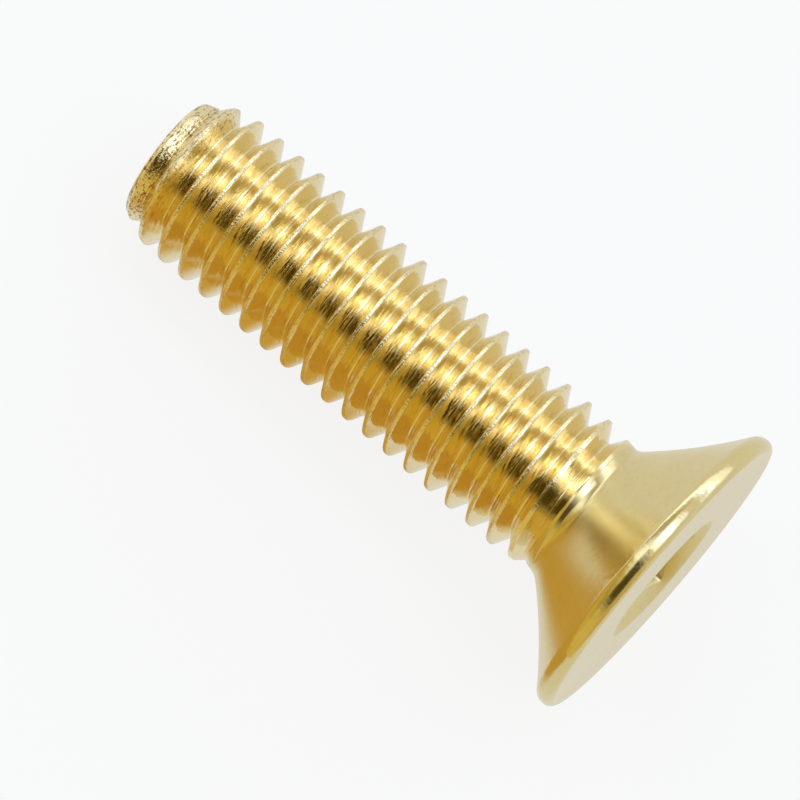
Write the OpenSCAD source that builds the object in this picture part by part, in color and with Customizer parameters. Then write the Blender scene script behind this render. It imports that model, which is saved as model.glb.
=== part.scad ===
// Countersunk machine screw with a hex socket, M8 x 1.25 x 30, right-handed.
// It lies as it comes to rest: on the rim of its head and on a crest near the end of its thread.
// Millimetres, +Z up, the tip towards -X, and the origin on the floor under the middle of its box.

/* [Thread] */
// Diameter over the crests, where an M8 thread measures 7.76 to 7.97
thread_d = 7.85; // [7.4:0.05:8.2]
// Distance from one crest to the next
thread_pitch = 1.25; // [1:0.05:1.5]
// Radius of the rounded root between the flanks
root_corner_r = 0.25; // [0.18:0.01:0.3]
// Length over which the thread grows from nothing to its full height
runout_l = 1; // [0.8:0.1:3]
// How far the growing thread reaches back over the neck into the fillet
runout_back = 0.4; // [0:0.1:0.6]
// Diameter of the low crest next to the neck
first_crest_d = 7.4; // [7.35:0.05:7.8]
// Length over which the crests rise from there to their full diameter
crest_rise_l = 1.9; // [0.5:0.1:4]
// How far the helix is turned about the axis, in turns
thread_turn = 0.87; // [0:0.01:1]

/* [Tip] */
// Length from the flat face of the head to the end of the thread
overall_l = 30.15; // [16:0.05:60]
// Diameter of the flat end
tip_d = 5.8; // [5.4:0.1:7]
// Length of the rounded lead-in behind the flat end
tip_l = 2.7; // [1.5:0.1:3]

/* [Head] */
// Diameter of the head at its widest
head_d = 15.65; // [13:0.1:20]
// Distance of the widest circle from the flat face
rim_h = 0.45; // [0.42:0.01:1]
// Radius of the rim's corner on the flat face
face_corner_r = 0.4; // [0.1:0.02:0.4]
// Radius of the rim's corner on the seat
seat_corner_r = 0.65; // [0.2:0.05:1]
// Slope of the seat against the axis, next to the rim
seat_angle_rim = 54; // [46:1:58]
// Slope of the seat against the axis, next to the neck
seat_angle_neck = 42; // [36:1:44]

/* [Neck] */
// Diameter of the neck between the head and the thread
neck_d = 7.15; // [6.6:0.05:7.3]
// Radius of the fillet between the seat and the neck
neck_fillet_r = 1.05; // [0.5:0.05:2]
// Length of the straight neck
neck_l = 0.05; // [0.05:0.05:2]

/* [Socket] */
// Width of the hex socket across its flats
socket_af = 5; // [4:0.1:5.2]
// Depth of the socket's flats below the face
socket_depth = 3.5; // [2.5:0.1:4]
// Diameter of the round mouth on the face
socket_mouth_d = 6.4; // [6.2:0.1:8]
// Full angle of the mouth's chamfer
socket_mouth_angle = 100; // [80:5:130]
// Full angle of the conical bottom
socket_point_angle = 118; // [90:2:140]
// Turn of the hex about the axis
socket_turn = 0; // [0:5:60]

/* [Smoothness] */
// Columns of facets around the thread
thread_sides = 36; // [24:12:48]
// Straight steps in each arc of the head's outline
arc_steps = 5; // [4:1:12]

/* [Hidden] */
round_fn = 60;
cut_over = 1;

head_r = head_d / 2;
neck_r = neck_d / 2;
crest_r = thread_d / 2;
first_crest_r = first_crest_d / 2;
tip_r = tip_d / 2;

// The head's outline is a chain of arcs: face corner, seat corner, concave seat and neck fillet.
seat_corner_end = [head_r - seat_corner_r * (1 - cos(seat_angle_rim)),
    rim_h + seat_corner_r * sin(seat_angle_rim)];
fillet_start_r = neck_r + neck_fillet_r * (1 - cos(seat_angle_neck));
seat_arc_r = (seat_corner_end[0] - fillet_start_r) / (cos(seat_angle_neck) - cos(seat_angle_rim));
seat_arc_centre = seat_corner_end + seat_arc_r * [cos(seat_angle_rim), sin(seat_angle_rim)];
fillet_start_z = seat_arc_centre[1] - seat_arc_r * sin(seat_angle_neck);
neck_start_z = fillet_start_z + neck_fillet_r * sin(seat_angle_neck);
thread_start_z = neck_start_z + neck_l;
runout_end_z = thread_start_z + runout_l - runout_back;

// The thread's section follows the ISO triangle: a flat crest, 60 degree flanks and a rounded root.
crest_half_w = thread_pitch / 16;
flank_slope = sqrt(3);
flank_point_r = crest_r - (thread_pitch / 2 - crest_half_w) * flank_slope;
root_half_w = root_corner_r * sin(60);
flank_bottom_r = flank_point_r + root_half_w * flank_slope;
root_r = flank_point_r + root_corner_r;
// The thread's core is a little thinner than the neck, and the neck ends in a cone that runs down
// into the groove and stops a little under its floor.
core_step = 0.04;
core_r = neck_r - core_step;
section = [
    [-crest_half_w, crest_r],
    [crest_half_w, crest_r],
    [thread_pitch / 2 - root_half_w, flank_bottom_r],
    [thread_pitch / 2, root_r],
    [thread_pitch / 2 + root_half_w, flank_bottom_r],
];
section_n = len(section);
helix_z = thread_start_z + thread_pitch * (thread_turn - 3);
turns = ceil((overall_l - helix_z) / thread_pitch) + 1;
column_n = turns * section_n + 2;
core_bottom_z = helix_z - thread_pitch;
core_top_z = helix_z + (turns + 1) * thread_pitch + cut_over;

// The lead-in is an arc that starts along the axis, a hair outside the crests.
tip_clear = 0.02;
tip_start_r = crest_r + tip_clear;
tip_drop = tip_start_r - tip_r;
tip_arc_r = (tip_l ^ 2 + tip_drop ^ 2) / (2 * tip_drop);
tip_arc_angle = asin(tip_l / tip_arc_r);
full_thread_end = overall_l - tip_l;

// Lying, the screw touches the floor with the seat corner of its rim and with the first crest that
// meets the floor as the tip sinks. On the underside, crests lie half a turn from the helix's start.
seat_corner_x = head_r - seat_corner_r;
first_under = helix_z + thread_pitch / 2 + crest_half_w;
under_crests = [for (z = [first_under : thread_pitch : overall_l]) if (z > thread_start_z + crest_rise_l) z];
function lead_in_r(z) = tip_start_r - tip_arc_r + sqrt(tip_arc_r ^ 2 - max(0, z - full_thread_end) ^ 2);
function tilt_onto(r, z) = let (rise = seat_corner_x - r, run = z - rim_h)
    atan(rise / run) + asin(seat_corner_r / norm([rise, run]));
lie_angle = min([for (z = under_crests) tilt_onto(min(crest_r, lead_in_r(z)), z)]);
face_reach = (head_r - face_corner_r) * sin(lie_angle) - face_corner_r * cos(lie_angle) + face_corner_r;
tip_reach = tip_r * sin(lie_angle) + overall_l * cos(lie_angle);
axis_height = seat_corner_r + seat_corner_x * cos(lie_angle) + rim_h * sin(lie_angle);
place = [(tip_reach - face_reach) / 2, 0, axis_height];

function arc(centre, r, from, to) = [for (i = [0 : arc_steps])
    let (a = from + (to - from) * i / arc_steps) centre + r * [cos(a), sin(a)]];

// How much of the full section the thread has at height z
function fullness(z) = min(1, max(0, (z - thread_start_z + runout_back) / runout_l));

function column_point(side, z, r) =
    [r * cos(360 * side / thread_sides), r * sin(360 * side / thread_sides), z];

// Point m of the helical surface in one column, counted upwards through the sections of all turns
function thread_point(side, m) = let (
    turn = floor(m / section_n),
    spot = section[m % section_n],
    z = helix_z + thread_pitch * (turn + side / thread_sides) + spot[0]
) column_point(side, z, core_r + fullness(z) * (spot[1] - core_r));

function column(side) = [
    column_point(side, core_bottom_z, core_r),
    for (m = [0 : column_n - 3]) thread_point(side, m),
    column_point(side, core_top_z, crest_r),
];

// Two triangles between a step of one column and the step beside it in the next
function strip(a, b, a_step, b_step) = [
    [a + a_step, a + a_step + 1, b + b_step + 1],
    [a + a_step, b + b_step + 1, b + b_step],
];

module thread_body() {
    last = (thread_sides - 1) * column_n;
    top = column_n - 1;
    points = [for (side = [0 : thread_sides - 1]) each column(side)];
    walls = [for (side = [0 : thread_sides - 2], m = [0 : top - 1])
        each strip(side * column_n, (side + 1) * column_n, m, m)];
    // Behind the last column the helix is one turn further up, so the steps join one section later.
    seam = [for (m = [1 : top - section_n - 2]) each strip(last, 0, m, m + section_n)];
    seam_bottom = [
        for (m = [0 : section_n]) [last, m + 1, m],
        [last, last + 1, section_n + 1],
    ];
    seam_top = [
        for (m = [top - section_n - 1 : top - 1]) [last + m, last + m + 1, top - 1],
        [last + top, top, top - 1],
    ];
    ends = [
        [for (side = [0 : thread_sides - 1]) side * column_n],
        [for (side = [thread_sides - 1 : -1 : 0]) side * column_n + top],
    ];
    polyhedron(points, concat(walls, seam, seam_bottom, seam_top, ends), convexity = 12);
}

// Everything inside the rising crests next to the neck and the rounded lead-in of the tip
module crest_form() {
    tip_arc = arc([tip_start_r - tip_arc_r, full_thread_end], tip_arc_r, 0, tip_arc_angle);
    outline = [
        [0, 0],
        [first_crest_r, 0],
        [first_crest_r, thread_start_z],
        [tip_start_r, thread_start_z + crest_rise_l],
        each tip_arc,
        [0, overall_l],
    ];
    rotate_extrude($fn = round_fn) polygon(outline);
}

module head_body() {
    outline = [
        [0, 0],
        each arc([head_r - face_corner_r, face_corner_r], face_corner_r, -90, 0),
        each arc([head_r - seat_corner_r, rim_h], seat_corner_r, 0, seat_angle_rim),
        each arc(seat_arc_centre, seat_arc_r, 180 + seat_angle_rim, 180 + seat_angle_neck),
        each arc([neck_r + neck_fillet_r, neck_start_z], neck_fillet_r, 180 + seat_angle_neck, 180),
        [neck_r, thread_start_z],
        [root_r - core_step, runout_end_z],
        [0, runout_end_z],
    ];
    rotate_extrude($fn = round_fn) polygon(outline);
}

module socket() {
    socket_r = socket_af / 2;
    mouth_r = socket_mouth_d / 2;
    mouth_depth = mouth_r / tan(socket_mouth_angle / 2);
    point_depth = socket_r / tan(socket_point_angle / 2);
    rotate(socket_turn)
        translate([0, 0, -cut_over])
            cylinder(r = socket_r / cos(30), h = socket_depth + cut_over, $fn = 6);
    translate([0, 0, socket_depth]) cylinder(r1 = socket_r, r2 = 0, h = point_depth, $fn = round_fn);
    cylinder(r1 = mouth_r, r2 = 0, h = mouth_depth, $fn = round_fn);
}

module screw() {
    color("goldenrod")
        translate(place) rotate([0, -90 - lie_angle, 0])
            difference() {
                union() {
                    head_body();
                    intersection() {
                        thread_body();
                        crest_form();
                    }
                }
                socket();
            }
}

screw();
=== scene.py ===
"""A gold countersunk machine screw, M8 x 1.25 x 30, lying on a pale floor.

The thread, the head and the socket are one closed mesh, worked out from the screw's own sizes.
Sizes are in millimetres until a point is placed, and z is the distance from the flat face of the head.
"""
import math

import bpy
import numpy as np
from mathutils import Matrix, Vector


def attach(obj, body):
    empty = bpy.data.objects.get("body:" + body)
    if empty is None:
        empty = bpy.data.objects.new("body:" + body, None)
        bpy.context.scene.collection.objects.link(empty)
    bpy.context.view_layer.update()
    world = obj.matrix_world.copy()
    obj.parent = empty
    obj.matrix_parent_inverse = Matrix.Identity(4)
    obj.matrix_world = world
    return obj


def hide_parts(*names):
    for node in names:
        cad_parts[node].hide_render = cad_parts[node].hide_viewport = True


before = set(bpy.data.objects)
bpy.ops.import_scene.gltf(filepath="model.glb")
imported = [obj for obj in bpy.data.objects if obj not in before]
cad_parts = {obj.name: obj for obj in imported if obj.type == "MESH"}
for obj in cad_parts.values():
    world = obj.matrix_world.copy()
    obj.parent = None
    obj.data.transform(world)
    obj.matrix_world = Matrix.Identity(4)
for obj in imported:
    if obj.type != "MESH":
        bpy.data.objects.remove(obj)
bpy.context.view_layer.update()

MM = 0.001
ROOT_3 = math.sqrt(3)

# Thread
THREAD_D = 7.85
PITCH = 1.25
ROOT_CORNER_R = 0.08
RUNOUT_L = 1.0
RUNOUT_BACK = 0.4
FIRST_CREST_D = 7.4
CREST_RISE_L = 1.9
THREAD_TURN = 0.87
CREST_CORNER_R = 0.06
CORE_STEP = 0.04
# Width of the rounding where a crest meets its limit, and where the groove meets the neck
CREST_BLEND = 0.05
ROOT_BLEND = 0.08

# Tip
OVERALL_L = 30.15
TIP_D = 5.8
TIP_L = 2.7
TIP_CLEAR = 0.02
TIP_EDGE_R = 0.22
TIP_EDGE_L = 0.16
END_SLANT = math.tan(math.radians(3.5))
END_SHORT = 0.08

# Head
HEAD_D = 15.65
RIM_H = 0.45
FACE_CORNER_R = 0.4
SEAT_CORNER_R = 0.65
SEAT_ANGLE_RIM = math.radians(54)
SEAT_ANGLE_NECK = math.radians(42)

# Neck
NECK_D = 7.15
NECK_FILLET_R = 1.05
NECK_L = 0.05

# Socket
SOCKET_AF = 5.0
SOCKET_DEPTH = 3.5
SOCKET_CORNER_R = 0.12
# Width of the rounding where a corner of the hex meets its limit
HEX_BLEND = 0.06
MOUTH_D = 6.4
MOUTH_SLOPE = math.radians(50)
MOUTH_LIP_R = 0.12
POINT_SLOPE = math.radians(59)

# Mesh, where a narrow first step keeps the shading of a flat place flat up to its rounded edge
COLUMNS = 180
GRID_MARGIN = 0.15
FLAT_EDGE = 0.012
SHARP_ANGLE = math.radians(38)

# Metal
THREAD_GOLD = (0.92, 0.78, 0.46, 1)
# The head's gold is deeper than the thread's: painted shade and warmth for the shank's shade and gold light
# that the head mirrors
HEAD_GOLD_WITH_PAINTED_SHADE = (0.82, 0.69, 0.36, 1)
GOLD_SHADE = (0.90, 0.88, 0.80, 1)
FLECK_BROWN = (0.25, 0.12, 0.02, 1)
SEAT_ROUGH = 0.2
RIM_ROUGH = 0.17
SOCKET_ROUGH = 0.36
CREST_ROUGH = 0.17
FLANK_ROUGH = (0.05, 0.11)
# Full height of the lines, the grain and the dents
LINE_DEPTH = 0.05
GRAIN_DEPTH = 0.03
DENT_DEPTH = 0.08
# Where the finish changes, by the distance from the flat face
THREADED_FROM = (4.9, 5.3)
WORN_TIP_FROM = (27.6, 29.4)
# Where the finish changes, by the distance from the axis
CREST_FROM = (3.8, 3.88)
GROOVE_FROM = (3.5, 3.3)
RIM_FROM = (7.0, 7.4)
# Noise as counts per metre, along the screw and across it
LINES = (11000, 330, 330)
BROAD_LINES = (4200, 240, 240)
SPECKS = (9000, 3500, 3500)
SPECK_LEVELS = (0.53, 0.61)
GRAIN = 9000
CLOUDS = 420
DENTS = 1500

# Studio
BACKGROUND_COLOUR = (0.99, 0.995, 1.0, 1)
FLOOR_COLOUR = (0.87, 0.86, 0.84, 1)
CAMERA_GLOW = 0.85
FLOOR_RADIUS = 700
FLOOR_CORNERS = 96
# The floor as the metal mirrors it: a painted gold reflection glows in an oval patch beside the screw, and
# further out on the -Y side for all X below a limit
MIRRORED_FLOOR = (0.80, 0.80, 0.77, 1)
MIRRORED_GLOW = 0.95
PAINTED_GOLD_REFLECTION = (0.60, 0.38, 0.06, 1)
PAINTED_GOLD_MIDDLE = (-2.0, -8.5)
PAINTED_GOLD_REACH = (9.5, 5.0)
PAINTED_GOLD_EDGE = (1.2, 0.6)
PAINTED_GOLD_FROM_Y = (-9.0, -13.0)
PAINTED_GOLD_FROM_X = (13.0, 6.0)
COOL_LIGHT = (0.98, 1.04, 1.15)
WARM_LIGHT = (1.0, 0.76, 0.12)
# The room by the angle around the screw's axis, from the -Y side over the top to the +Y side, as
# degrees, level and warmth
ROOM_ABOVE = [(-90, 0.74, 0.9), (-52, 0.72, 0.85), (-42, 0.38, 0.7), (-33, 0.08, 1), (-8, 0.07, 1),
              (1, 0.5, 0.3), (11, 1.5, 0), (22, 2.4, -0.6), (34, 1.4, -0.2), (46, 0.75, 0.4),
              (56, 0.8, 0.3), (66, 1.8, -0.6), (78, 1.3, 0)]
ROOM_TIP_END = [(-90, 0.7, 0.95), (-64, 0.65, 1), (-52, 0.45, 0.9), (-22, 0.65, 0.8), (-12, 1.0, 0.3),
                (2, 1.5, 0), (14, 1.1, 0), (28, 0.55, 0.5), (50, 0.5, 0.6), (60, 0.8, 0.2),
                (72, 1.8, -0.3), (84, 1.4, 0)]
ROOM_HEAD_END = [(-90, 0.65, 0.8), (-45, 0.6, 0.8), (-14, 0.65, 0.7), (5, 0.75, 0.6), (28, 0.8, 0.4),
                 (45, 0.7, 0.2), (68, 0.85, 0), (84, 0.75, 0)]
# Where the room goes over to its two ends, by the X part of the direction
TIP_END_BLEND = (-0.38, -0.6)
HEAD_END_BLEND = (0.3, 0.8)

# Camera: its place, its turn about the vertical in degrees, and its lean to the right and up in radians
CAMERA_AT = (3.733, -12.161, 273.121)
CAMERA_TURN = 40.985
CAMERA_LEAN = (0.03811, -0.01617)
CAMERA_LENS = 264.07
CAMERA_SENSOR = 36
CAMERA_CLIP = 10

HEAD_R = HEAD_D / 2
NECK_R = NECK_D / 2
CREST_R = THREAD_D / 2
TIP_R = TIP_D / 2


def polar(centre, radius, angle):
    """Point (r, z) on a circle of the screw's outline."""
    return (centre[0] + radius * math.cos(angle), centre[1] + radius * math.sin(angle))


def arc(centre, radius, start, end, steps):
    """Points along a circle of the outline, both ends included."""
    return [polar(centre, radius, start + (end - start) * i / steps) for i in range(steps + 1)]


# The head's outline is a chain of arcs: face corner, seat corner, concave seat and neck fillet.
SEAT_CORNER_CENTRE = (HEAD_R - SEAT_CORNER_R, RIM_H)
SEAT_CORNER_END = polar(SEAT_CORNER_CENTRE, SEAT_CORNER_R, SEAT_ANGLE_RIM)
FILLET_START_R = NECK_R + NECK_FILLET_R * (1 - math.cos(SEAT_ANGLE_NECK))
SEAT_RUN = math.cos(SEAT_ANGLE_NECK) - math.cos(SEAT_ANGLE_RIM)
SEAT_ARC_R = (SEAT_CORNER_END[0] - FILLET_START_R) / SEAT_RUN
SEAT_ARC_CENTRE = polar(SEAT_CORNER_END, SEAT_ARC_R, SEAT_ANGLE_RIM)
NECK_START_Z = SEAT_ARC_CENTRE[1] - (SEAT_ARC_R - NECK_FILLET_R) * math.sin(SEAT_ANGLE_NECK)
THREAD_START_Z = NECK_START_Z + NECK_L
GRID_START_Z = THREAD_START_Z - RUNOUT_BACK - GRID_MARGIN

# The thread's section follows the ISO triangle: a flat crest, 60 degree flanks and a rounded root.
CREST_HALF_W = PITCH / 16
FLANK_TURN = math.radians(60)
FLANK_POINT_R = CREST_R - (PITCH / 2 - CREST_HALF_W) * ROOT_3
ROOT_CENTRE_R = FLANK_POINT_R + 2 * ROOT_CORNER_R
ROOT_R = ROOT_CENTRE_R - ROOT_CORNER_R
CREST_CORNER_START = CREST_HALF_W - CREST_CORNER_R * math.tan(FLANK_TURN / 2)
CREST_CORNER_W = CREST_CORNER_R * math.sin(FLANK_TURN)
ROOT_HALF_W = ROOT_CORNER_R * math.sin(FLANK_TURN)
HELIX_Z = THREAD_START_Z + PITCH * (THREAD_TURN - 3)
NECK_FALL = (NECK_R - ROOT_R + CORE_STEP) / (RUNOUT_L - RUNOUT_BACK)

# The lead-in is an arc that starts along the axis, a hair outside the crests.
TIP_START_R = CREST_R + TIP_CLEAR
TIP_DROP = TIP_START_R - TIP_R
TIP_ARC_R = (TIP_L ** 2 + TIP_DROP ** 2) / (2 * TIP_DROP)
FULL_THREAD_END = OVERALL_L - TIP_L
GRID_END_Z = OVERALL_L - TIP_EDGE_L


def lead_in_r(z):
    """Radius of the rounded lead-in at height z."""
    past = np.maximum(0.0, z - FULL_THREAD_END)
    return TIP_START_R - TIP_ARC_R + np.sqrt(TIP_ARC_R ** 2 - past ** 2)


def tilt_onto(radius, z):
    """Tilt at which the screw lies on its rim's seat corner and on a circle of this radius at z."""
    rise = SEAT_CORNER_CENTRE[0] - radius
    run = z - RIM_H
    return math.atan(rise / run) + math.asin(SEAT_CORNER_R / math.hypot(rise, run))


def resting_place():
    """The lying screw's tilt, and where the middle of its flat face comes to be."""
    first_under = HELIX_Z + PITCH / 2 + CREST_HALF_W
    heights = [first_under + PITCH * i for i in range(40)]
    crests = [z for z in heights if THREAD_START_Z + CREST_RISE_L < z <= OVERALL_L]
    tilt = min(tilt_onto(min(CREST_R, float(lead_in_r(z))), z) for z in crests)
    corner = HEAD_R - FACE_CORNER_R
    face_reach = corner * math.sin(tilt) - FACE_CORNER_R * math.cos(tilt) + FACE_CORNER_R
    tip_reach = TIP_R * math.sin(tilt) + OVERALL_L * math.cos(tilt)
    height = SEAT_CORNER_R + SEAT_CORNER_CENTRE[0] * math.cos(tilt) + RIM_H * math.sin(tilt)
    return tilt, ((tip_reach - face_reach) / 2, 0.0, height)


LIE_ANGLE, FACE_MIDDLE = resting_place()
TO_TIP = (-math.cos(LIE_ANGLE), 0, -math.sin(LIE_ANGLE))


def placed(points):
    """Rows of x, y, z in the screw's own axes, laid down in the frame, in metres."""
    sin_t, cos_t = math.sin(LIE_ANGLE), math.cos(LIE_ANGLE)
    x, y, z = points.T
    lying = np.stack([-x * sin_t - z * cos_t, y, x * cos_t - z * sin_t], axis=1)
    return (lying + np.array(FACE_MIDDLE)) * MM


def smooth_min(a, b, blend):
    """The lesser of two surfaces, with a rounded edge where they cross."""
    share = np.clip(0.5 + 0.5 * (b - a) / blend, 0, 1)
    return b + share * (a - b) - blend * share * (1 - share)


def end_cut_z(z, share=1.0):
    """A ring's heights in each column of the tip's end, which is cut a little out of square."""
    side = TIP_R * share * np.sin(np.arange(COLUMNS) / COLUMNS * 2 * math.pi)
    return z - END_SHORT + END_SLANT * side


def section_r(from_crest):
    """Radius of the full thread at a distance along the axis from the middle of a crest."""
    corner = CREST_R - CREST_CORNER_R + np.sqrt(
        np.maximum(0, CREST_CORNER_R ** 2 - np.maximum(0, from_crest - CREST_CORNER_START) ** 2))
    flank = CREST_R - (from_crest - CREST_HALF_W) * ROOT_3
    from_root = np.minimum(PITCH / 2 - from_crest, ROOT_HALF_W)
    root = ROOT_CENTRE_R - np.sqrt(ROOT_CORNER_R ** 2 - from_root ** 2)
    past_corner = from_crest > CREST_CORNER_START + CREST_CORNER_W
    past_flank = from_crest > PITCH / 2 - ROOT_HALF_W
    return np.where(past_flank, root, np.where(past_corner, flank, corner))


def section_steps():
    """Where one pitch has its points: close together round the crest's corners and the root."""
    corner = [CREST_CORNER_START + CREST_CORNER_R * math.sin(FLANK_TURN * i / 3) for i in range(4)]
    root = [PITCH / 2 - ROOT_CORNER_R * math.sin(FLANK_TURN * i / 2) for i in (2, 1)]
    flank = [corner[-1] + FLAT_EDGE, root[0] - FLAT_EDGE]
    half = corner + flank + root
    return np.array([0.0] + half + [PITCH / 2] + [PITCH - s for s in reversed(half)])


def neck_outline_r(z):
    """Radius of the fillet, the neck and the cone by which the neck runs down into the groove."""
    before = np.clip(NECK_START_Z - z, 0, NECK_FILLET_R)
    fillet = NECK_R + NECK_FILLET_R - np.sqrt(NECK_FILLET_R ** 2 - before ** 2)
    return fillet - NECK_FALL * np.maximum(0, z - THREAD_START_Z)


def crest_limit_r(z):
    """Radius that no crest passes: it rises beside the neck and falls along the lead-in of the tip."""
    rise = np.clip((z - THREAD_START_Z) / CREST_RISE_L, 0, 1)
    beside_neck = (TIP_START_R - FIRST_CREST_D / 2) * (1 - rise)
    return lead_in_r(z) - beside_neck


def thread_r(turn, z):
    """Radius of the threaded shank at an angle, in turns, and a height."""
    along = (z - HELIX_Z) / PITCH - turn
    from_crest = np.abs(along - np.round(along)) * PITCH
    grown = np.clip((z - THREAD_START_Z + RUNOUT_BACK) / RUNOUT_L, 0, 1)
    thread = NECK_R + grown * (section_r(from_crest) - NECK_R)
    thread = smooth_min(thread, crest_limit_r(z), CREST_BLEND)
    return -smooth_min(-thread, -neck_outline_r(z), ROOT_BLEND)


class Shell:
    """Points and faces of the screw's one closed surface."""

    def __init__(self):
        self.points = []
        self.faces = []
        self.count = 0

    def add_points(self, points):
        self.points.append(points)
        first = self.count
        self.count += len(points)
        return np.arange(first, self.count)

    def add_faces(self, corners):
        for face in corners.tolist():
            around = [v for i, v in enumerate(face) if v != face[i - 1]]
            if len(around) > 2:
                self.faces.append(around)

    def ring(self, radii, z):
        turn = np.arange(COLUMNS) / COLUMNS * 2 * math.pi
        radii = np.broadcast_to(radii, COLUMNS)
        z = np.broadcast_to(z, COLUMNS)
        return self.add_points(np.stack([radii * np.cos(turn), radii * np.sin(turn), z], axis=1))

    def join(self, below, above):
        """Faces between two rings, where above lies further along the surface's own way up."""
        self.add_faces(np.stack([below, np.roll(below, -1), np.roll(above, -1), above], axis=1))


def add_thread(shell):
    """The helical surface as columns that climb with the thread. Gives its first and last rings."""
    steps = section_steps()
    per_turn = len(steps)
    turns = math.ceil((GRID_END_Z - HELIX_Z) / PITCH) + 2
    column_turn = np.arange(COLUMNS) / COLUMNS
    rows = (np.arange(-1, turns)[:, None] * PITCH + steps[None, :]).ravel()
    z = HELIX_Z + rows[None, :] + PITCH * column_turn[:, None]
    end_z = end_cut_z(GRID_END_Z)
    z = np.clip(z, GRID_START_Z, end_z[:, None])
    ids = np.zeros(z.shape, int)
    for i in range(COLUMNS):
        first = np.nonzero(z[i] > GRID_START_Z)[0][0] - 1
        last = np.nonzero(z[i] < end_z[i])[0][-1] + 1
        height = z[i, first:last + 1]
        radius = thread_r(column_turn[i], height)
        angle = column_turn[i] * 2 * math.pi
        own = np.stack([radius * math.cos(angle), radius * math.sin(angle), height], axis=1)
        ids[i] = shell.add_points(own)[np.clip(np.arange(len(rows)) - first, 0, last - first)]
    beside = np.roll(ids, -1, axis=0)
    beside[-1] = np.concatenate([ids[0, per_turn:], np.full(per_turn, ids[0, -1])])
    quads = np.stack([ids[:, :-1], beside[:, :-1], beside[:, 1:], ids[:, 1:]], axis=-1)
    shell.add_faces(quads.reshape(-1, 4))
    return ids[:, 0], ids[:, -1]


def head_outline():
    """Points (r, z) from the neck over the seat and the rim to the flat face."""
    half_turn = math.pi
    grid_edge = half_turn + math.asin((NECK_START_Z - GRID_START_Z) / NECK_FILLET_R)
    fillet_centre = (NECK_R + NECK_FILLET_R, NECK_START_Z)
    return (
        arc(fillet_centre, NECK_FILLET_R, grid_edge, half_turn + SEAT_ANGLE_NECK, 5)[1:]
        + arc(SEAT_ARC_CENTRE, SEAT_ARC_R, half_turn + SEAT_ANGLE_NECK, half_turn + SEAT_ANGLE_RIM, 14)[1:]
        + arc(SEAT_CORNER_CENTRE, SEAT_CORNER_R, SEAT_ANGLE_RIM, 0, 10)[1:]
        + arc((HEAD_R - FACE_CORNER_R, FACE_CORNER_R), FACE_CORNER_R, 0, -half_turn / 2, 8)
    )


def hex_r(apothem):
    """Radius of the hex socket's wall in each column, with slightly rounded corners."""
    degrees = np.arange(COLUMNS) * 360 / COLUMNS
    flat = apothem / np.cos(np.radians(degrees % 60 - 30))
    corner = apothem / math.cos(math.radians(30)) - SOCKET_CORNER_R / 4
    return smooth_min(flat, np.full(COLUMNS, corner), HEX_BLEND)


def add_head(shell, loop):
    """The neck, the seat, the rim and the flat face, from the thread's first ring inwards."""
    for radius, z in head_outline():
        ring = shell.ring(radius, z)
        shell.join(ring, loop)
        loop = ring
    return loop


def add_socket(shell, loop):
    """The face's inner part, the rounded mouth, the hex walls and the drilled bottom."""
    mouth_r = MOUTH_D / 2
    lip_turn = math.pi / 2 - MOUTH_SLOPE
    lip_start = mouth_r + MOUTH_LIP_R * math.tan(lip_turn / 2)
    lip = arc((lip_start, MOUTH_LIP_R), MOUTH_LIP_R, -math.pi / 2, -math.pi / 2 - lip_turn, 4)
    face_edge = HEAD_R - FACE_CORNER_R
    face = [(face_edge + (lip_start - face_edge) * i / 6, 0.0) for i in range(1, 6)]
    face = [(face_edge - FLAT_EDGE, 0.0)] + face + [(lip_start + FLAT_EDGE, 0.0)]
    wall = hex_r(SOCKET_AF / 2)
    wall_top = (mouth_r - wall) / math.tan(MOUTH_SLOPE)
    socket_r = SOCKET_AF / 2
    point_depth = socket_r / math.tan(POINT_SLOPE)
    rings = face + lip
    rings += [(wall + 0.03, wall_top - 0.02), (wall, wall_top + 0.05)]
    rings += [(wall, wall_top + (SOCKET_DEPTH - wall_top) * i / 5) for i in range(1, 6)]
    bottom = (0.98, 0.7, 0.4, 0.15)
    rings += [(socket_r * share, SOCKET_DEPTH + point_depth * (1 - share)) for share in bottom]
    for radius, z in rings:
        ring = shell.ring(radius, z)
        shell.join(ring, loop)
        loop = ring
    middle = shell.add_points(np.array([[0.0, 0.0, SOCKET_DEPTH + point_depth]]))
    shell.join(np.full(COLUMNS, middle[0]), loop)


def add_tip_end(shell, loop):
    """The rounded edge and the flat end of the tip."""
    start_r = lead_in_r(end_cut_z(GRID_END_Z))
    edge_h = OVERALL_L - GRID_END_Z
    end_r = start_r - TIP_EDGE_R
    rings = [(end_r + TIP_EDGE_R * math.cos(a), end_cut_z(GRID_END_Z + edge_h * math.sin(a)))
             for a in (math.radians(d) for d in (22, 45, 67, 90))]
    rings += [(end_r * share, end_cut_z(OVERALL_L, share)) for share in (0.99, 0.75, 0.5, 0.25, 0.1)]
    for radius, z in rings:
        ring = shell.ring(radius, z)
        shell.join(loop, ring)
        loop = ring
    middle = shell.add_points(np.array([[0.0, 0.0, OVERALL_L - END_SHORT]]))
    shell.join(loop, np.full(COLUMNS, middle[0]))


def make_screw():
    """The whole screw as one closed piece that stands for the CAD node."""
    shell = Shell()
    neck_ring, tip_ring = add_thread(shell)
    face_ring = add_head(shell, neck_ring)
    add_socket(shell, face_ring)
    add_tip_end(shell, tip_ring)
    mesh = bpy.data.meshes.new("screw_surface")
    mesh.from_pydata(placed(np.concatenate(shell.points)).tolist(), [], shell.faces)
    mesh.validate()
    mesh.shade_smooth()
    mesh.set_sharp_from_angle(angle=SHARP_ANGLE)
    piece = bpy.data.objects.new("screw_surface", mesh)
    bpy.context.scene.collection.objects.link(piece)
    return piece


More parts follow.
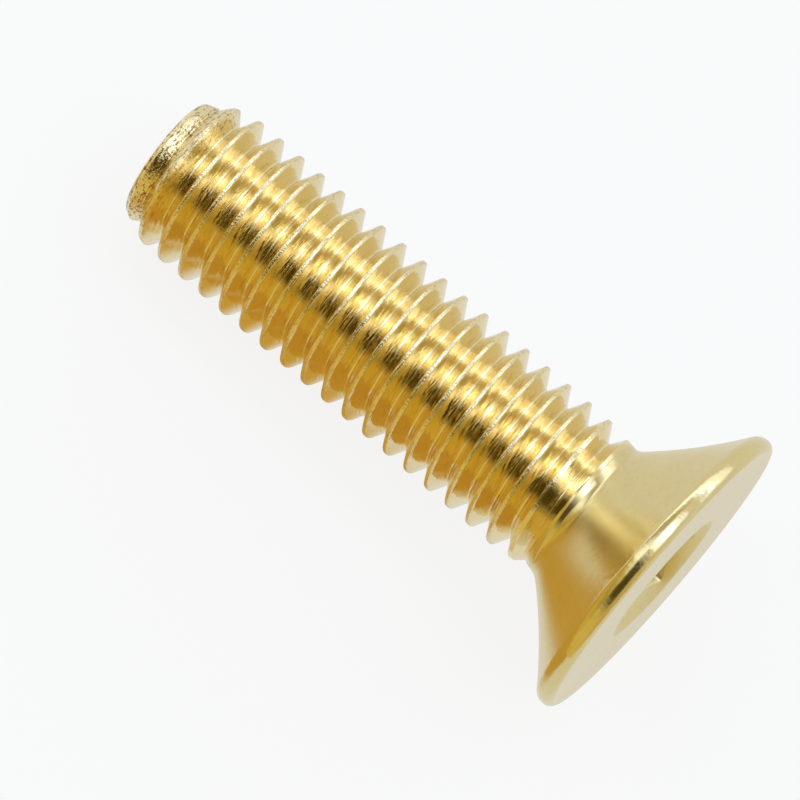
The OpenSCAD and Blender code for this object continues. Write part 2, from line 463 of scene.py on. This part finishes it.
def new_material(name):
    """An empty node material with its output."""
    material = bpy.data.materials.new(name)
    material.use_nodes = True
    material.node_tree.nodes.clear()
    output = material.node_tree.nodes.new("ShaderNodeOutputMaterial")
    return material, material.node_tree, output


def add_node(tree, kind, values=None, **settings):
    """A node with its settings, and with numbers or links on its inputs."""
    node = tree.nodes.new(kind)
    for name, value in settings.items():
        setattr(node, name, value)
    for key, value in (values or {}).items():
        if isinstance(value, bpy.types.NodeSocket):
            tree.links.new(value, node.inputs[key])
        else:
            node.inputs[key].default_value = value
    return node


def screw_distances(tree, place):
    """How far a point lies from the flat face of the head and from the screw's axis, in metres."""
    from_face = add_node(tree, "ShaderNodeVectorMath", {0: place, 1: Vector(FACE_MIDDLE) * MM},
                         operation="SUBTRACT").outputs["Vector"]
    along = add_node(tree, "ShaderNodeVectorMath", {0: from_face, 1: TO_TIP}, operation="DOT_PRODUCT")
    across = add_node(tree, "ShaderNodeVectorMath", {0: from_face, 1: TO_TIP}, operation="CROSS_PRODUCT")
    radial = add_node(tree, "ShaderNodeVectorMath", {0: across.outputs["Vector"]}, operation="LENGTH")
    return along.outputs["Value"], radial.outputs["Value"]


def step_at(tree, value, start, end):
    """A soft step from 0 to 1 between two distances in millimetres."""
    values = {"Value": value, "From Min": start * MM, "From Max": end * MM}
    return add_node(tree, "ShaderNodeMapRange", values, interpolation_type="SMOOTHSTEP").outputs["Result"]


def noise(tree, place, scale, detail=3.0, rough=0.5):
    """Noise of a size given as one count per metre, or as one for each of the screw's axes."""
    scales = scale if isinstance(scale, tuple) else (scale, scale, scale)
    at = add_node(tree, "ShaderNodeMapping", {"Vector": place, "Scale": scales}).outputs["Vector"]
    return add_node(tree, "ShaderNodeTexNoise", {"Vector": at, "Scale": 1.0, "Detail": detail,
                                                 "Roughness": rough}).outputs["Fac"]


def blend(tree, factor, first, second):
    """A number between two numbers."""
    return add_node(tree, "ShaderNodeMix", {"Factor": factor, "A": first, "B": second}).outputs["Result"]


def bumped(tree, height, depth, strength, normal=None):
    """A normal bent by a height, whose full range is depth in millimetres."""
    values = {"Height": height, "Distance": depth * MM, "Strength": strength}
    if normal:
        values["Normal"] = normal
    return add_node(tree, "ShaderNodeBump", values).outputs["Normal"]


def gold():
    """Bright gold plating: fine rolling lines round the axis, grain at the tip, and a satin seat."""
    material, tree, output = new_material("gold_plated_metal")
    place = add_node(tree, "ShaderNodeTexCoord").outputs["Object"]
    own = add_node(tree, "ShaderNodeMapping", {"Vector": place, "Rotation": (0, LIE_ANGLE, 0)},
                   vector_type="POINT").outputs["Vector"]
    from_face, from_axis = screw_distances(tree, place)
    threaded = step_at(tree, from_face, *THREADED_FROM)
    tip = step_at(tree, from_face, *WORN_TIP_FROM)
    crest = blend(tree, threaded, 0.0, step_at(tree, from_axis, *CREST_FROM))
    worn = add_node(tree, "ShaderNodeMath", {0: tip, 1: crest}, operation="MAXIMUM").outputs["Value"]
    groove = step_at(tree, from_axis, *GROOVE_FROM)
    lined = add_node(tree, "ShaderNodeMath", {0: worn, 1: groove}, operation="MAXIMUM").outputs["Value"]
    recess = blend(tree, threaded, groove, 0.0)
    lines = noise(tree, own, LINES, 2.0)
    broad_lines = noise(tree, own, BROAD_LINES, 2.0)
    grain = noise(tree, own, GRAIN, 2.0, 0.6)
    clouds = noise(tree, own, CLOUDS, 4.0)
    dents = noise(tree, own, DENTS, 2.0)
    rim = step_at(tree, from_axis, *RIM_FROM)
    specks = add_node(tree, "ShaderNodeMapRange", {"Value": noise(tree, own, SPECKS, 3.0, 0.6),
                                                   "From Min": SPECK_LEVELS[0],
                                                   "From Max": SPECK_LEVELS[1]}).outputs["Result"]
    speckled = blend(tree, tip, blend(tree, crest, 0.05, 0.25), 0.9)
    flecks = add_node(tree, "ShaderNodeMath", {0: specks, 1: speckled},
                      operation="MULTIPLY").outputs["Value"]
    # The head takes the deeper gold, a painted shade for what its seat and face mirror of the shank
    colour = add_node(tree, "ShaderNodeMix", {"Factor": threaded, "A": HEAD_GOLD_WITH_PAINTED_SHADE, "B": THREAD_GOLD},
                      data_type="RGBA").outputs["Result"]
    colour = add_node(tree, "ShaderNodeMix", {"Factor": clouds, "A": colour, "B": GOLD_SHADE},
                      data_type="RGBA", blend_type="MULTIPLY").outputs["Result"]
    colour = add_node(tree, "ShaderNodeMix", {"Factor": flecks, "A": colour, "B": FLECK_BROWN},
                      data_type="RGBA").outputs["Result"]
    line_share = blend(tree, threaded, 0.03, blend(tree, lined, 0.12, 1.0))
    broad_share = blend(tree, threaded, 0.03, blend(tree, lined, 0.15, 0.6))
    grain_share = blend(tree, worn, blend(tree, threaded, 0.05, 0.12), 0.9)
    dent_share = blend(tree, threaded, blend(tree, rim, 0.08, 0.3), 0.0)
    normal = bumped(tree, lines, LINE_DEPTH, line_share)
    normal = bumped(tree, broad_lines, LINE_DEPTH, broad_share, normal)
    normal = bumped(tree, grain, GRAIN_DEPTH, grain_share, normal)
    normal = bumped(tree, dents, DENT_DEPTH, dent_share, normal)
    satin = blend(tree, rim, SEAT_ROUGH, RIM_ROUGH)
    head_rough = blend(tree, recess, satin, SOCKET_ROUGH)
    smooth = blend(tree, threaded, head_rough, blend(tree, clouds, *FLANK_ROUGH))
    rough = blend(tree, crest, smooth, CREST_ROUGH)
    shader = add_node(tree, "ShaderNodeBsdfPrincipled", {"Base Color": colour, "Roughness": rough,
                                                         "Metallic": 1.0, "Normal": normal})
    tree.links.new(shader.outputs["BSDF"], output.inputs["Surface"])
    return material


def pale_floor():
    """A pale matt floor with shadows kept; the metal mirrors it pale, with a painted gold reflection on one
    side.
    """
    material, tree, output = new_material("pale_floor")
    path = add_node(tree, "ShaderNodeLightPath")
    seen = add_node(tree, "ShaderNodeMath", {0: path.outputs["Is Camera Ray"], 1: CAMERA_GLOW},
                    operation="MULTIPLY")
    mirrored = add_node(tree, "ShaderNodeMath", {0: path.outputs["Is Glossy Ray"], 1: MIRRORED_GLOW},
                        operation="MULTIPLY")
    share = add_node(tree, "ShaderNodeMath", {0: seen.outputs["Value"], 1: mirrored.outputs["Value"]},
                     operation="MAXIMUM")
    matt = add_node(tree, "ShaderNodeBsdfDiffuse", {"Color": FLOOR_COLOUR})
    at = add_node(tree, "ShaderNodeTexCoord").outputs["Object"]
    # Painted gold reflection: for the metal's mirror rays the floor glows gold in an oval beside the screw
    # and far out on -Y
    middle = Vector((*PAINTED_GOLD_MIDDLE, 0)) * MM
    half_size = Vector((*PAINTED_GOLD_REACH, 1)) * MM
    beside = add_node(tree, "ShaderNodeVectorMath", {0: at, 1: middle}, operation="SUBTRACT")
    reach = add_node(tree, "ShaderNodeVectorMath", {0: beside.outputs["Vector"], 1: half_size},
                     operation="DIVIDE")
    away = add_node(tree, "ShaderNodeVectorMath", {0: reach.outputs["Vector"]}, operation="LENGTH")
    patch = add_node(tree, "ShaderNodeMapRange", {"Value": away.outputs["Value"], "From Min": PAINTED_GOLD_EDGE[0],
                                                  "From Max": PAINTED_GOLD_EDGE[1]},
                     interpolation_type="SMOOTHSTEP").outputs["Result"]
    parts = add_node(tree, "ShaderNodeSeparateXYZ", {0: at})
    far_side = add_node(tree, "ShaderNodeMath", {0: step_at(tree, parts.outputs["Y"], *PAINTED_GOLD_FROM_Y),
                                                 1: step_at(tree, parts.outputs["X"], *PAINTED_GOLD_FROM_X)},
                        operation="MULTIPLY").outputs["Value"]
    painted_gold_share = add_node(tree, "ShaderNodeMath", {0: patch, 1: far_side}, operation="MAXIMUM").outputs["Value"]
    reflected = add_node(tree, "ShaderNodeMix", {"Factor": painted_gold_share, "A": MIRRORED_FLOOR, "B": PAINTED_GOLD_REFLECTION},
                         data_type="RGBA").outputs["Result"]
    tint = add_node(tree, "ShaderNodeMix", {"Factor": path.outputs["Is Glossy Ray"], "A": BACKGROUND_COLOUR,
                                            "B": reflected}, data_type="RGBA").outputs["Result"]
    glow = add_node(tree, "ShaderNodeEmission", {"Color": tint, "Strength": 1.0})
    mix = add_node(tree, "ShaderNodeMixShader", {"Fac": share.outputs["Value"], 1: matt.outputs["BSDF"],
                                                 2: glow.outputs["Emission"]})
    tree.links.new(mix.outputs["Shader"], output.inputs["Surface"])
    return material


def add_floor():
    """A wide flat disc under the screw."""
    turns = [2 * math.pi * i / FLOOR_CORNERS for i in range(FLOOR_CORNERS)]
    radius = FLOOR_RADIUS * MM
    edge = [(radius * math.cos(a), radius * math.sin(a), 0) for a in turns]
    mesh = bpy.data.meshes.new("floor")
    mesh.from_pydata(edge, [], [range(FLOOR_CORNERS)])
    floor = bpy.data.objects.new("floor", mesh)
    bpy.context.scene.collection.objects.link(floor)
    floor.data.materials.append(pale_floor())


def room_band(tree, around, stops):
    """The room's colour by the angle around the screw's axis, from stops of degrees, level and warmth."""
    ramp = add_node(tree, "ShaderNodeValToRGB", {0: around})
    ramp.color_ramp.interpolation = "EASE"
    elements = ramp.color_ramp.elements
    elements.remove(elements[1])
    for degrees, level, warmth in stops:
        element = elements[0] if degrees == -90 else elements.new((degrees + 90) / 180)
        mixed = [cool + (warm - cool) * warmth for cool, warm in zip(COOL_LIGHT, WARM_LIGHT)]
        element.color = [level * part for part in mixed] + [1]
    return ramp.outputs["Color"]


def add_world():
    """A pale room with a dark place overhead and soft strips along the screw's +Y side."""
    world = bpy.data.worlds.new("studio")
    bpy.context.scene.world = world
    world.use_nodes = True
    tree = world.node_tree
    tree.nodes.clear()
    output = add_node(tree, "ShaderNodeOutputWorld")
    way = add_node(tree, "ShaderNodeTexCoord").outputs["Generated"]
    parts = add_node(tree, "ShaderNodeSeparateXYZ", {0: way})
    angle = add_node(tree, "ShaderNodeMath", {0: parts.outputs["Y"], 1: parts.outputs["Z"]},
                     operation="ARCTAN2").outputs["Value"]
    around = add_node(tree, "ShaderNodeMapRange", {"Value": angle, "From Min": -math.pi / 2,
                                                   "From Max": math.pi / 2}).outputs["Result"]
    colour = room_band(tree, around, ROOM_ABOVE)
    for reach, stops in ((TIP_END_BLEND, ROOM_TIP_END), (HEAD_END_BLEND, ROOM_HEAD_END)):
        share = add_node(tree, "ShaderNodeMapRange", {"Value": parts.outputs["X"], "From Min": reach[0],
                                                      "From Max": reach[1]},
                         interpolation_type="SMOOTHSTEP").outputs["Result"]
        colour = add_node(tree, "ShaderNodeMix", {"Factor": share, "A": colour,
                                                  "B": room_band(tree, around, stops)},
                          data_type="RGBA").outputs["Result"]
    path = add_node(tree, "ShaderNodeLightPath")
    seen = add_node(tree, "ShaderNodeMix", {"Factor": path.outputs["Is Camera Ray"], "A": colour,
                                            "B": BACKGROUND_COLOUR}, data_type="RGBA").outputs["Result"]
    back = add_node(tree, "ShaderNodeBackground", {"Color": seen, "Strength": 1.0})
    tree.links.new(back.outputs["Background"], output.inputs["Surface"])


def add_camera():
    """The photograph's view: from straight above, with the tip at the upper left."""
    at = Vector(CAMERA_AT) * MM
    turn = math.radians(CAMERA_TURN)
    right = Vector((math.cos(turn), math.sin(turn), 0))
    up = Vector((-math.sin(turn), math.cos(turn), 0))
    lean = CAMERA_LEAN[0] * right + CAMERA_LEAN[1] * up
    lens_turn = Matrix.Rotation(lean.length, 3, lean)
    axes = Matrix((right, up, Vector((0, 0, 1)))).transposed()
    camera = bpy.data.objects.new("camera", bpy.data.cameras.new("camera"))
    camera.data.sensor_width = CAMERA_SENSOR
    camera.data.lens = CAMERA_LENS
    camera.data.clip_start = CAMERA_CLIP * MM
    camera.matrix_world = Matrix.Translation(at) @ (lens_turn @ axes).to_4x4()
    bpy.context.scene.collection.objects.link(camera)
    bpy.context.scene.camera = camera


screw = make_screw()
screw.data.materials.append(gold())
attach(screw, "root")
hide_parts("screw")

add_floor()
add_world()
add_camera()

bpy.context.scene.view_settings.view_transform = "Standard"
